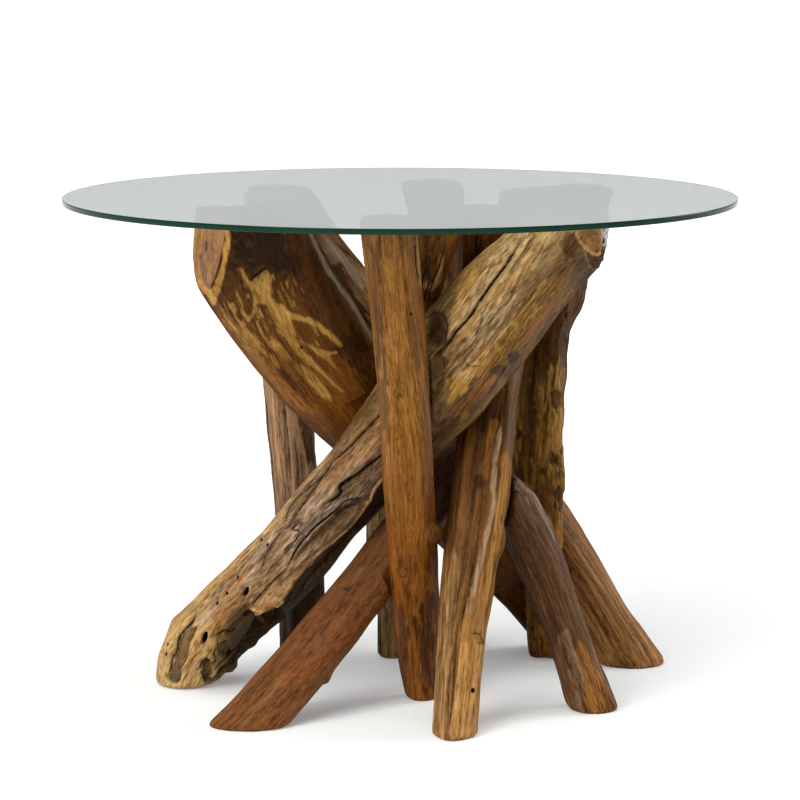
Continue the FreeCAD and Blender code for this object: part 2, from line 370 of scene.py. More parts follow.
    def valley(self, path, width, depth):
        """A soft valley along a path drawn on the pane, or a ridge where the depth is below zero."""
        gap, along = self.to_path(path, 2 * width)
        taper = np.sqrt(np.clip(5 * along * (1 - along), 0, 1)) * self.front
        self.rise -= depth * taper * smooth_step(width, 0, gap)

    def inside(self, outline):
        """Distance on the pane to a rounded outline, above zero inside it."""
        closed = list(outline) + [outline[0]]
        gap, _ = self.to_path(closed, 12)
        near = gap < FAR
        gap[near] *= np.where(is_inside(self.pane[near], smooth_path(closed)), 1, -1)
        gap[~near] = -FAR
        return gap

    def erode(self, outline, depth, colour, ledge=1.5, ragged=0.8, edge=0.0):
        """A hollow with ragged edges inside an outline drawn on the pane, with a painted shadow line along
        its rim.
        """
        gap = self.inside(outline) + ragged * self.grit
        share = smooth_step(-0.4, ledge, gap) * self.front
        self.rise -= depth * share * (1 + 0.4 * self.fine)
        self.blend(rgb(*colour), share * np.clip(0.9 + 0.2 * self.fray, 0, 1))
        rim = edge * smooth_step(1.5, 0.2, np.abs(gap - 0.4)) * self.front
        rim *= np.clip(0.7 + 0.7 * self.fine, 0, 1)
        self.crack_shade_and_seam_mask = np.maximum(self.crack_shade_and_seam_mask, rim)
        self.dull_mask = np.maximum(self.dull_mask, share)

    def patch(self, colour, outline, strength, ragged, soft):
        """Colour inside an outline drawn on the pane, with an edge that frays along the grain."""
        field = self.inside(outline) + ragged * self.fray
        self.blend(rgb(*colour), smooth_step(-soft, soft, field) * strength * self.front)

    def hole(self, centre, radii, depth, turn=0.0):
        """A clean hole, such as a beetle leaves, darkened inside with painted shade."""
        inside = smooth_step(1.15, 0.65, self.reach_of(centre, radii, turn)) * self.front
        self.rise -= depth * inside
        self.crack_shade_and_seam_mask = np.maximum(self.crack_shade_and_seam_mask, inside)

    def reach_of(self, centre, radii, turn):
        """How far each vertex is from an ellipse's middle on the pane, where 1 is its edge."""
        away = self.pane - np.asarray(centre, float)
        c, s = math.cos(math.radians(turn)), math.sin(math.radians(turn))
        return np.hypot(away @ (c, s) / radii[0], away @ (-s, c) / radii[1])

    def spot(self, colour, centre, radii, turn, strength, ragged=0.3, depth=0.0):
        """An elliptic patch of colour on the pane with soft ragged edges."""
        reach = self.reach_of(centre, radii, turn) + ragged * self.grit
        share = smooth_step(1.2, 0.6, reach) * strength * self.front
        self.blend(rgb(*colour), share)
        self.rise -= depth * share

    def paint(self, colour, path, width, strength, feather):
        """Colour along a path drawn on the pane, fading at its ends and frayed along the grain."""
        gap, along = self.to_path(path, 3 * width)
        ends = smooth_step(0, 0.12, along) * smooth_step(1, 0.88, along)
        field = ends - gap / width + feather * self.fray
        self.blend(rgb(*colour), smooth_step(0.0, 0.5, field) * strength * self.front)

    def flecks(self, colour, centre, radii, strength):
        """Short strokes of colour along the grain inside an ellipse on the pane."""
        share = smooth_step(1.2, 0.6, self.reach_of(centre, radii, 0.0)) * self.front
        strokes = smooth_step(0.25, 0.7, self.dashes + 0.4 * self.streaks)
        self.blend(rgb(*colour), share * strength * strokes)

    def facet(self, facing):
        """Where the surface faces one way, as a sawn face does."""
        return smooth_step(0.86, 0.95, self.normals @ np.array(facing))

    def store(self, name, kind, field, values):
        """Keeps values for each vertex, for the shader to read."""
        layer = self.mesh.attributes.new(name, kind, "POINT")
        layer.data.foreach_set(field, values.astype(np.float32).ravel())

    def finish(self):
        """Moves the vertices, stores what the shader needs and hands the piece to the frame."""
        moved = self.points + self.normals * self.rise[:, None]
        moved[:, 2] = np.clip(moved[:, 2], 0, BASE_TOP)
        self.mesh.vertices.foreach_set("co", (moved * MM).astype(np.float32).ravel())
        self.mesh.shade_smooth()
        self.store("grain", "FLOAT_VECTOR", "vector", self.grain * MM)
        colours = np.ones((len(moved), 4))
        colours[:, :3] = np.clip(self.tint, 0, 1) / TINT_LEVEL
        self.store("tint", "FLOAT_COLOR", "color", colours)
        # The crack layer carries the painted shade of cracks, holes and hollow rims and the dark peg seams
        masks = {"crack": self.crack_shade_and_seam_mask, "dull": self.dull_mask, "endwise": self.endwise}
        for name, values in masks.items():
            self.store(name, "FLOAT", "value", np.clip(values, 0, 1))
        self.mesh.materials.clear()
        self.mesh.materials.append(materials[self.slot])
        piece = new_object(self.node + "_wood", self.mesh)
        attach(piece, "base")
        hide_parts(self.node)


class Tree:
    """A short way to write the nodes of a material or of the world."""

    def __init__(self, owner):
        owner.use_nodes = True
        self.owner = owner
        self.nodes = owner.node_tree.nodes
        self.links = owner.node_tree.links
        self.shader = self.nodes.get("Principled BSDF")

    def add(self, kind, settings=None, **inputs):
        node = self.nodes.new("ShaderNode" + kind)
        for name, value in (settings or {}).items():
            setattr(node, name, value)
        for name, value in inputs.items():
            self.put(node.inputs[name.replace("_", " ")], value)
        return node

    def wire(self, **inputs):
        """Sets or links the shader's own sockets."""
        for name, value in inputs.items():
            self.put(self.shader.inputs[name.replace("_", " ")], value)

    def surface(self, shader):
        self.put(self.nodes["Material Output"].inputs["Surface"], shader.outputs[0])

    def put(self, socket, value):
        if isinstance(value, bpy.types.NodeSocket):
            self.links.new(value, socket)
        else:
            socket.default_value = value

    def attribute(self, name, output="Fac"):
        return self.add("Attribute", {"attribute_name": name}).outputs[output]

    def noise(self, vector, scale, detail=3.0, roughness=0.5, output="Fac"):
        node = self.add("TexNoise", Vector=vector, Scale=scale, Detail=detail, Roughness=roughness)
        return node.outputs[output]

    def math(self, operation, first, second, kind="Math"):
        node = self.add(kind, {"operation": operation})
        self.put(node.inputs[0], first)
        self.put(node.inputs[1], second)
        return node.outputs[0]

    def vector_math(self, operation, first, second):
        return self.math(operation, first, second, "VectorMath")

    def stretch(self, vector, along):
        """Scales the third part of a vector, which runs along the grain."""
        return self.vector_math("MULTIPLY", vector, (1, 1, along))

    def remap(self, value, low, high, to_low=0.0, to_high=1.0):
        node = self.add("MapRange", {"interpolation_type": "SMOOTHSTEP"}, Value=value, From_Min=low,
                        From_Max=high, To_Min=to_low, To_Max=to_high)
        return node.outputs[0]

    def ramp(self, value, stops):
        node = self.add("ValToRGB", Fac=value)
        ramp = node.color_ramp
        while len(ramp.elements) < len(stops):
            ramp.elements.new(0.5)
        for element, (place, colour) in zip(ramp.elements, stops):
            element.position = place
            element.color = (*colour, 1)
        return node.outputs["Color"]

    def mix(self, factor, first, second, blend="MIX"):
        node = self.add("Mix", {"data_type": "RGBA", "blend_type": blend})
        self.put(node.inputs["Factor"], factor)
        for socket, value in ((node.inputs[6], first), (node.inputs[7], second)):
            self.put(socket, (*value, 1) if isinstance(value, tuple) else value)
        return node.outputs[2]


def new_material(name):
    return Tree(bpy.data.materials.new(name))


def teak(name, gloss, relief, contrast, long, short, specular):
    """Waxed teak: the log's painted tint with long streaks, short dashes and pores along the grain."""
    tree = new_material(name)
    grain = tree.attribute("grain", "Vector")
    sway = tree.noise(tree.stretch(grain, 0.2), 22.0, 2.0, output="Color")
    sway = tree.vector_math("SUBTRACT", sway, (0.5, 0.5, 0.5))
    sway = tree.vector_math("MULTIPLY", sway, (0.008, 0.008, 0))
    wavy = tree.vector_math("ADD", grain, sway)
    streak = tree.noise(tree.stretch(wavy, 0.03), 520.0, 4.0, 0.6)
    dash = tree.noise(tree.stretch(wavy, 0.2), 620.0, 3.0, 0.55)
    band = tree.noise(tree.stretch(wavy, 0.05), 90.0, 3.0)
    pore = tree.noise(tree.stretch(grain, 0.07), 640.0, 2.0)
    figure = tree.math("ADD", tree.math("MULTIPLY", streak, long), tree.math("MULTIPLY", dash, short))
    figure = tree.math("ADD", figure, tree.math("MULTIPLY", band, 0.3))
    middle = (long + short + 0.3) / 2
    stops = [(middle - contrast, (0.24, 0.19, 0.14)), (middle, (TINT_LEVEL,) * 3),
             (middle + contrast, (0.94, 0.94, 0.92))]
    colour = tree.mix(1.0, tree.attribute("tint", "Color"), tree.ramp(figure, stops), "MULTIPLY")
    colour = tree.mix(tree.remap(pore, 0.40, 0.28, 0.0, 0.6), colour, rgb(36, 19, 8))
    rings = tree.add("TexWave", {"wave_type": "RINGS", "rings_direction": "Z"}, Vector=wavy, Scale=70.0,
                     Distortion=4.0, Detail=2.0, Detail_Scale=1.5)
    ring_shade = tree.ramp(rings.outputs["Fac"], [(0.0, (0.62, 0.58, 0.54)), (1.0, (1.0, 1.0, 1.0))])
    colour = tree.mix(tree.attribute("endwise"), colour, tree.mix(1.0, colour, ring_shade, "MULTIPLY"))
    # Painted shade: cracks, holes and hollow rims turn near black
    crack = tree.attribute("crack")
    colour = tree.mix(tree.remap(crack, 0.1, 0.8), colour, rgb(24, 14, 7))
    shine = tree.remap(figure, middle - 0.2, middle + 0.2, gloss + 0.14, gloss - 0.06)
    rough = tree.math("MAXIMUM", crack, tree.math("MULTIPLY", tree.attribute("dull"), 0.8))
    edge_on = tree.remap(tree.add("LayerWeight").outputs["Facing"], 0.5, 0.9, 0.4, 0.95)
    rough = tree.math("MAXIMUM", rough, edge_on)
    bump = tree.add("Bump", Strength=relief, Distance=0.0022, Height=figure)
    tree.wire(Base_Color=colour, Roughness=tree.math("MAXIMUM", shine, rough), Specular_IOR_Level=specular,
              Specular_Tint=WAX_TINT, Normal=bump.outputs[0])
    return tree.owner


# Name, gloss, relief, contrast, long streaks, short dashes, strength of the reflection
TEAKS = (
    ("teak_warm", 0.42, 0.5, 0.14, 0.5, 0.3, 0.15),
    ("teak_weathered", 0.44, 0.6, 0.13, 0.3, 0.6, 0.16),
    ("teak_blazed", 0.44, 0.4, 0.15, 0.35, 0.45, 0.08),
    ("teak_red", 0.44, 0.5, 0.15, 0.3, 0.5, 0.15),
    ("teak_grey", 0.42, 0.6, 0.13, 0.5, 0.4, 0.12),
    ("teak_blotched", 0.46, 0.6, 0.12, 0.35, 0.5, 0.08),
    ("teak_pale", 0.46, 0.6, 0.13, 0.5, 0.4, 0.15),
)
materials = {row[0]: teak(*row) for row in TEAKS}


def front_plugs():
    """The pegs driven straight in from the front, as one mesh, and the middles of their ends on x and z."""
    shape = bmesh.new()
    shape.from_mesh(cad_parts["pegs"].data)
    bmesh.ops.remove_doubles(shape, verts=shape.verts, dist=1e-6)
    waiting = set(shape.verts)
    middles = []
    while waiting:
        island = {waiting.pop()}
        edge_of = list(island)
        while edge_of:
            for edge in edge_of.pop().link_edges:
                for vert in edge.verts:
                    if vert not in island:
                        island.add(vert)
                        edge_of.append(vert)
        waiting -= island
        xs = [vert.co.x / MM for vert in island]
        zs = [vert.co.z / MM for vert in island]
        if max(xs) - min(xs) < PLUG_WIDTH and max(zs) - min(zs) < PLUG_WIDTH:
            middles.append(((max(xs) + min(xs)) / 2, (max(zs) + min(zs)) / 2))
        else:
            bmesh.ops.delete(shape, geom=list(island), context="VERTS")
    mesh = bpy.data.meshes.new("front_plugs")
    shape.to_mesh(mesh)
    shape.free()
    return mesh, sorted(middles)


def make_centre_post():
    plugs, middles = front_plugs()
    log = Log("centre_post", "teak_warm", 1.1, 11, [
        (0, 128, 74, 22), (150, 128, 76, 23), (290, 138, 92, 37), (390, 128, 84, 36), (443, 106, 69, 34),
    ], plugs)
    log.weather((70, 0.8), [(12, 0.45, 260)], [(0.76, 5, 140), (1.24, 6, 160, 0.2)], (4, 1.2, 2, 0), 3)
    log.paint((74, 48, 28), [(-21, 412), (-19, 359), (-17, 324), (-15, 289), (-14, 240)], 4.5, 0.75, 1.2)
    log.paint((160, 108, 46), [(-12, 404), (-10, 346), (-7, 303), (-3, 270)], 5, 0.6, 1)
    log.paint((158, 106, 44), [(3, 402), (4, 338), (5, 290)], 4.5, 0.6, 1)
    log.paint((104, 64, 30), [(15, 372), (16, 331), (15, 290)], 7, 0.55, 1.2)
    log.paint((84, 52, 26), [(25, 310), (27, 255), (30, 195)], 6, 0.6, 0.9)
    log.paint((156, 100, 38), [(7, 225), (9, 165), (7, 115)], 7, 0.5, 1)
    log.paint((84, 47, 18), [(26, 205), (29, 165), (31, 100)], 8, 0.6, 0.9)
    log.paint((168, 122, 72), [(16, 420), (18, 393), (21, 366)], 3.5, 0.85, 0.5)
    log.paint((64, 36, 14), [(29, 95), (27, 66), (26, 33), (31, -10)], 9, 0.75, 1.3)
    log.flecks((48, 26, 10), (18, 50), (15, 42), 0.75)
    log.paint((66, 38, 15), [(1, 76), (5, 48), (7, 18)], 3.5, 0.65, 1.4)
    log.paint((150, 94, 36), [(9, 50), (13, 17), (17, -18)], 4, 0.6, 0.8)
    log.mottle((0.72, 0.66, 0.58), 2.2, 60, 0.05, 0.75)
    log.mottle(1.2, 2.6, 70, 0.2)
    log.crack([(14, 420), (14, 391), (18, 372)], 1.3, 2)
    log.hole((10, 343), (1.2, 1.7), 1.5)
    # The stub of a twig at the right edge
    stub = smooth_step(1.1, 0.4, log.reach_of((30, 144), (7, 10), 0))
    log.rise += 6.5 * stub
    log.endwise *= 1 - stub
    for x, z in middles:
        gap = np.hypot(log.points[:, 0] - x, log.points[:, 2] - z)
        seat = smooth_step(14, 5, gap) * log.front
        log.rise -= seat * (log.rise + 0.25)
        log.blend(rgb(124, 92, 46), 0.5 * smooth_step(4.3, 3.2, gap) * log.front)
        ring = smooth_step(1.5, 0.3, np.abs(gap - 4.3)) * smooth_step(-0.3, 0.4, log.grit) * log.front
        log.crack_shade_and_seam_mask = np.maximum(log.crack_shade_and_seam_mask, 0.6 * ring)
    log.finish()


def make_diagonal_log():
    log = Log("diagonal_log", "teak_weathered", 1.05, 23, [
        (0, 196, 156, 96), (55, 184, 140, 82), (100, 171, 136, 97), (180, 161, 134, 106), (260, 129, 93, 52),
        (340, 135, 100, 55), (443, 146, 114, 72),
    ])
    height = log.points[:, 2]
    log.lumps(60, 1.4)
    log.lumps(24, 1, smooth_step(130, 40, height))
    log.ridges(16, 1.1, 150)
    log.ridges(5, 0.35, 60)
    log.rise *= 1 - 0.5 * smooth_step(110, 60, height)
    log.mottle(0.62, 9, 60, 0.1, 0.9)
    log.mottle(1.25, 12, 80, 0.2, 0.9)
    log.mottle((0.88, 0.95, 1.1), 22, 130, 0.2)
    log.checks(6, 1.4, 3, 0)
    log.knots(4)
    # Painted shade: faces that turn down are darkened
    shaded_underside = smooth_step(-0.25, -0.65, log.normals[:, 2]) * smooth_step(6, 40, height)
    log.blend(rgb(56, 36, 18), 0.85 * shaded_underside)
    # Painted shade: the downward faces of the foot are darkened
    heel_shade = smooth_step(0.05, -0.35, log.normals[:, 2]) * smooth_step(-168, -150, log.points[:, 0])
    log.blend(rgb(44, 29, 16), 0.9 * heel_shade * smooth_step(110, 80, height))
    # The upper half: pale beside the crack, a painted sheen, a golden flank and a dark underside that is
    # partly painted shade
    log.paint((180, 146, 102), [(120, 424), (89, 386), (70, 360), (42, 326)], 13, 0.75, 0.8)
    log.paint((190, 140, 70), [(68, 390), (56, 365), (48, 341)], 6, 0.5, 1.2)
    # Painted shade along the left edge
    log.paint((90, 66, 44), [(46, 382), (35, 354), (28, 334)], 9, 0.75, 1)
    log.paint((186, 150, 98), [(138, 428), (114, 392), (97, 369), (80, 342)], 7, 0.65, 1.2)
    log.paint((178, 130, 56), [
        (155, 382), (118, 333), (99, 310), (72, 297), (56, 282), (42, 262),
    ], 14, 0.8, 1.3)
    # Painted sheen
    log.paint((200, 172, 132), [(102, 368), (78, 331), (66, 310), (48, 283)], 8, 0.35, 1.9)
    # The dark underside: a darker brown that is partly painted shade
    log.paint((78, 46, 17), [
        (158, 388), (137, 354), (122, 333), (108, 314), (93, 293), (79, 276), (58, 254),
    ], 9, 0.7, 1.7)
    # Painted orange glints on the dark underside
    log.paint((142, 88, 32), [(138, 354), (120, 331), (104, 308)], 4, 0.5, 1.8)
    log.paint((150, 94, 34), [(90, 290), (70, 270), (48, 252)], 5, 0.55, 1.8)
    # Painted shade beside the centre post
    log.paint((72, 50, 28), [(40, 308), (32, 280), (35, 254)], 8, 0.75, 1.2)
    log.paint((136, 104, 58), [(102, 288), (72, 255), (51, 234), (30, 212)], 6, 0.6, 1)
    log.spot((56, 34, 16), (33, 327), (9, 17), 0, 0.85, 0.15, 2)
    log.spot((86, 62, 38), (33, 294), (6, 11), 0, 0.7, 0.15, 1.5)
    log.spot((58, 36, 16), (88, 293), (7, 4), 10, 0.85, 0.4, 0.8)
    log.spot((36, 21, 10), (104, 304), (7, 6), 40, 0.9, 0.5, 0.8)
    log.spot((72, 45, 20), (151, 405), (9, 12), -35, 0.85, 0.6, 1)
    # The lower half: tan upper edge, its lightness partly a painted highlight, brown middle
    log.paint((206, 162, 102), [
        (-58, 226), (-90, 191), (-107, 165), (-125, 142), (-145, 119), (-168, 99), (-200, 72),
    ], 8, 0.75, 0.9)
    log.paint((112, 83, 56), [(-52, 214), (-85, 171), (-100, 145), (-115, 122), (-134, 96)], 9, 0.5, 1.6)
    log.paint((64, 49, 46), [(-86, 156), (-97, 148), (-91, 145), (-95, 136), (-104, 124)], 4, 0.8, 1.1)
    # The side branch: a rounded limb, hollow at its upper end, sawn off near the foot, with painted shade
    # below it
    log.patch((42, 27, 14), [
        (-8, 206), (-16, 194), (-25, 182), (-29, 169), (-41, 155), (-50, 145), (-63, 133), (-78, 120),
        (-91, 105), (-100, 93), (-107, 80), (-112, 66), (-100, 45), (-70, 75), (-40, 112), (-5, 155),
    ], 0.95, 1.2, 1.6)
    log.valley([(-5, 190), (-20, 168), (-45, 140), (-70, 112), (-98, 80)], 12, 5)
    log.valley([(-36, 172), (-50, 156), (-66, 142), (-84, 127), (-98, 112), (-110, 98), (-126, 80)], 11, -5)
    log.paint((154, 116, 74), [(-78, 132), (-94, 110), (-105, 100), (-118, 89), (-134, 74)], 8, 0.75, 0.8)
    log.erode([
        (-37, 175), (-41, 164), (-50, 156), (-63, 144), (-76, 133), (-86, 125), (-96, 116), (-97, 121),
        (-84, 139), (-66, 157), (-54, 167),
    ], 5, (84, 63, 39), ledge=5, ragged=0.6)
    # Painted shade inside the upper lip of the hollow
    log.paint((44, 32, 24), [(-34, 177), (-44, 171), (-50, 168), (-60, 158)], 3.6, 0.9, 0.5)
    # Painted highlight along the limb's upper rim
    log.paint((184, 164, 148), [
        (-38, 181), (-57, 170), (-73, 157), (-84, 145), (-97, 129), (-108, 113),
    ], 3.2, 0.8, 0.6)
    rim = [(-26, 180), (-34, 166), (-42, 156), (-54, 144), (-66, 133), (-82, 118)]
    log.valley(rim, 4, -2)
    log.paint((212, 162, 92), rim, 2.4, 0.85, 0.6)
    log.paint((220, 182, 126), [
        (-12, 200), (-25, 182), (-29, 169), (-41, 155), (-50, 145), (-68, 128),
    ], 1.7, 0.9, 0.3)
    # The worm-eaten foot, smooth and pale where it is sound
    log.patch((206, 170, 112), [
        (-168, 62), (-186, 66), (-204, 54), (-220, 40), (-224, 0), (-172, -6), (-176, 20),
    ], 0.6, 1.5, 6)
    # Painted grey sheen on the foot
    log.paint((172, 148, 132), [(-146, 106), (-151, 99), (-160, 87), (-170, 71), (-182, 59)], 4.5, 0.55, 1.2)
    log.paint((158, 106, 52), [(-140, 110), (-149, 96), (-157, 77), (-163, 62), (-170, 47)], 10, 0.65, 0.9)
    coarse = smooth_step(45, 125, height) * (1 - 0.5 * smooth_step(230, 330, height))
    log.mottle((0.66, 0.62, 0.56), 2.2, 9, 0.05, 0.7, 0.2 + 0.8 * coarse)
    log.mottle(1.3, 2.8, 13, 0.15, 0.8, 0.35 + 0.65 * coarse)
    middle = smooth_step(110, 150, height) * smooth_step(270, 210, height)
    log.mottle((1.16, 1.24, 1.5), 4, 36, 0.1, 0.6, middle)
    log.mottle((1, 0.84, 0.64), 7, 50, 0.1, 0.6, middle)
    log.erode([
        (-186, 67), (-190, 56), (-185, 57), (-187, 49), (-192, 36), (-194, 25), (-198, 17), (-201, 4),
        (-214, 8), (-210, 18), (-208, 28), (-204, 36), (-202, 46), (-194, 57),
    ], 3, (92, 78, 54))
    log.paint((138, 92, 50), [(-188, 62), (-194, 45), (-199, 32), (-208, 14)], 2.6, 0.5, 1.7)
    log.paint((158, 100, 46), [(-183, 46), (-186, 32), (-195, 17)], 3, 0.75, 1)
    log.erode([(-166, 39), (-160, 44), (-154, 42), (-152, 34), (-156, 29), (-165, 31)], 4, (84, 70, 45))
    log.erode([(-180, 23), (-177, 27), (-173, 25), (-169, 14), (-174, 1), (-179, 9)], 4.5, (72, 60, 37))
    log.erode([
        (-130, 68), (-110, 74), (-100, 60), (-110, 42), (-122, 30), (-142, 20), (-158, 6), (-174, 1),
        (-166, 14), (-154, 29), (-142, 43), (-136, 54),
    ], 6, (42, 28, 15), ragged=1.5, edge=0.4)
    for centre in ((-116, 47), (-129, 37), (-153, 20)):
        log.rise += 4.0 * smooth_step(1.1, 0.3, log.reach_of(centre, (9, 6), 35))
    log.patch((150, 104, 58), [
        (-135, 76), (-127, 71), (-116, 73), (-107, 80), (-115, 81), (-126, 78),
    ], 0.9, 0.4, 0.9)
    log.paint((188, 146, 92), [(-134, 88), (-135, 76), (-127, 71), (-116, 72), (-104, 83)], 1.5, 0.85, 0.2)
    log.hole((-140, 89), (2.4, 5), 7, -20)
    log.hole((-178, 46), (2.6, 6.5), 7, -15)
    log.spot((50, 31, 15), (-137, 69), (4.5, 3), 15, 0.9, 0.2, 4)
    pinholes = [
        (-147, 103), (-157, 88), (-166, 79), (-126, 138), (-120, 133), (-212, 41), (-214, 32), (-175, 24),
    ]
    for centre in pinholes:
        log.hole(centre, (1.3, 2), 2.5, -25)
    # The cracks
    log.crack([
        (112, 415), (101, 398), (92, 384), (80, 368), (71, 354), (62, 340), (51, 328), (41, 314), (31, 305),
        (25, 299),
    ], 1.6, 6)
    log.crack([(119, 414), (114, 404), (107, 395), (97, 379)], 1.2, 1.2, 0.6)
    log.crack([(24, 338), (30, 345), (39, 342), (42, 330), (39, 312)], 1.2, 1, 0.8)
    log.crack([(36, 308), (40, 296), (38, 284), (31, 278)], 1.2, 1, 0.7)
    log.crack([(72, 347), (73, 335), (68, 325)], 1, 0.8, 0.6)
    log.crack([(57, 308), (61, 297), (75, 297)], 1, 0.8, 0.6)
    log.crack([
        (-5, 262), (-18, 252), (-30, 240), (-41, 228), (-53, 217), (-63, 210), (-69, 198), (-82, 179),
        (-92, 164), (-103, 148),
    ], 1.4, 5)
    log.crack([(-103, 148), (-112, 139), (-119, 128), (-124, 116), (-126, 103)], 1.2, 1.5, 0.7)
    log.crack([
        (-63, 213), (-65, 202), (-73, 194), (-84, 184), (-94, 175), (-102, 164), (-104, 152), (-103, 148),
    ], 1.3, 2, 0.7)
    log.crack([
        (-12, 218), (-28, 206), (-37, 199), (-47, 192), (-55, 186), (-53, 182), (-58, 176), (-69, 170),
    ], 2, 4)
    log.crack([(-44, 194), (-50, 190), (-57, 185)], 3, 2.5, 0.9)
    log.crack([(-86, 155), (-97, 148), (-91, 145), (-95, 136), (-104, 125)], 1.4, 1.5, 0.7)
    log.crack([
        (-32, 177), (-47, 174), (-57, 166), (-66, 158), (-78, 148), (-84, 141), (-91, 133), (-97, 123),
        (-104, 110),
    ], 1.6, 2.5)
    log.crack([(-98, 117), (-107, 108), (-115, 100), (-125, 89), (-136, 74)], 1.4, 2, 0.85)
    log.crack([
        (-184, 70), (-194, 57), (-202, 46), (-204, 36), (-208, 28), (-210, 18), (-217, 6),
    ], 1.3, 2, 0.8)
    log.crack([
        (-165, 52), (-166, 39), (-169, 32), (-167, 25), (-171, 22), (-176, 27), (-181, 22), (-179, 10),
        (-173, -1),
    ], 1.3, 2, 0.8)
    log.crack([(-165, 49), (-160, 53), (-154, 52), (-148, 56)], 2, 2.5)
    log.crack([(-128, 71), (-136, 54), (-142, 45), (-151, 34), (-160, 25), (-170, 14)], 1.7, 2.5, 0.9)
    # The torn upper end
    torn = log.facet((0.94, -0.34, 0))
    log.rise += torn * 1.2 * log.grit
    log.blend(rgb(136, 90, 44), torn)
    strip = torn * smooth_step(178, 182, log.pane[:, 0]) * smooth_step(398, 404, log.pane[:, 1])
    log.blend(rgb(198, 188, 188), strip)
    log.blend(rgb(*DEEP_BROWN), strip * smooth_step(0.35, 0.6, log.fine))
    log.blend(rgb(66, 41, 20), torn * smooth_step(403, 396, log.pane[:, 1]))
    log.dull_mask = np.maximum(log.dull_mask, torn)
    lip = [(154, 426), (158, 414), (162, 407), (167, 401), (174, 397), (179, 402), (180, 407)]
    log.valley(lip, 4, -1)
    log.paint((184, 142, 86), lip, 1.8, 0.8, 0.05)
    log.spot((96, 60, 26), (168, 418), (8, 6), 0, 0.6)
    log.spot(DEEP_BROWN, (182, 398), (7, 6), 40, 0.8, 0.3, 1)
    log.finish()


